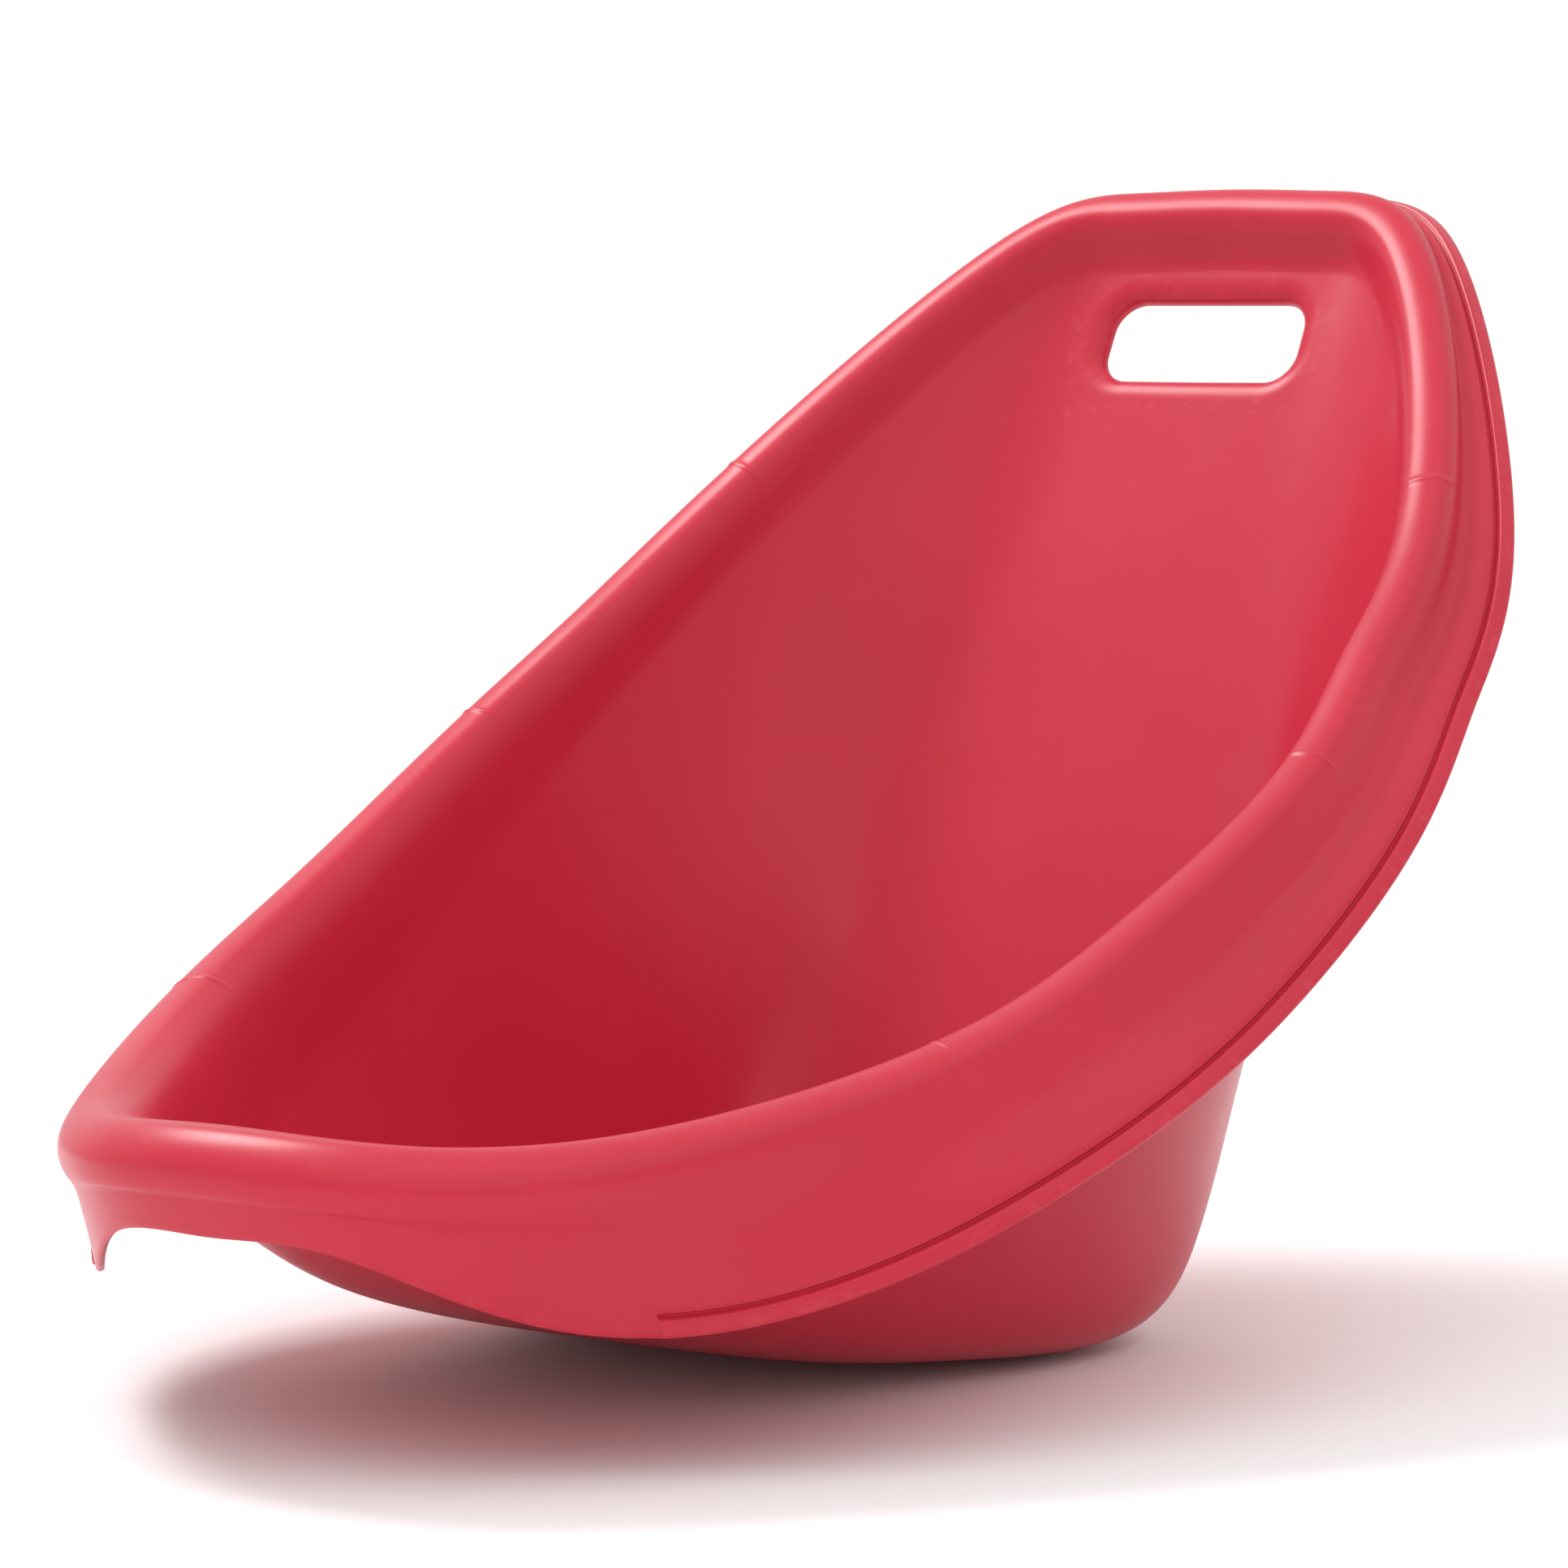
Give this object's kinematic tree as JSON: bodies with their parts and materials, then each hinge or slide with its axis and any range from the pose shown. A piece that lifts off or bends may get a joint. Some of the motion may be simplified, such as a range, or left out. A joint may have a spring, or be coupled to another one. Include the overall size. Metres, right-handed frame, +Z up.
{
  "type": "scoop rocker seat",
  "caption": "Child's one-piece moulded floor rocker: a deep scoop seat with a rolled rim, flared brim, hand slot and rounded rocking sole.",
  "frame": {"origin": "on the floor under the middle of the seat's footprint box, at the lowest point's height", "axes": "+Z up, the sitter faces -Y, +X is the sitter's left"},
  "size_m": [0.4385, 0.6448, 0.4117],
  "materials": {
    "moulding": "satin"
  },
  "bodies": {
    "root": {"seat_floor": "moulding", "back_panel": "moulding", "hand_panel": "moulding", "hand_slot_collar": "moulding", "front_apron": "moulding", "side_wall_left": "moulding", "side_wall_right": "moulding", "rim_front": "moulding", "rim_top": "moulding", "rim_left": "moulding", "rim_right": "moulding", "brim_front": "moulding", "brim_top": "moulding", "brim_left": "moulding", "brim_right": "moulding", "lip_top": "moulding", "lip_left": "moulding", "lip_right": "moulding"}
  },
  "joints": []
}
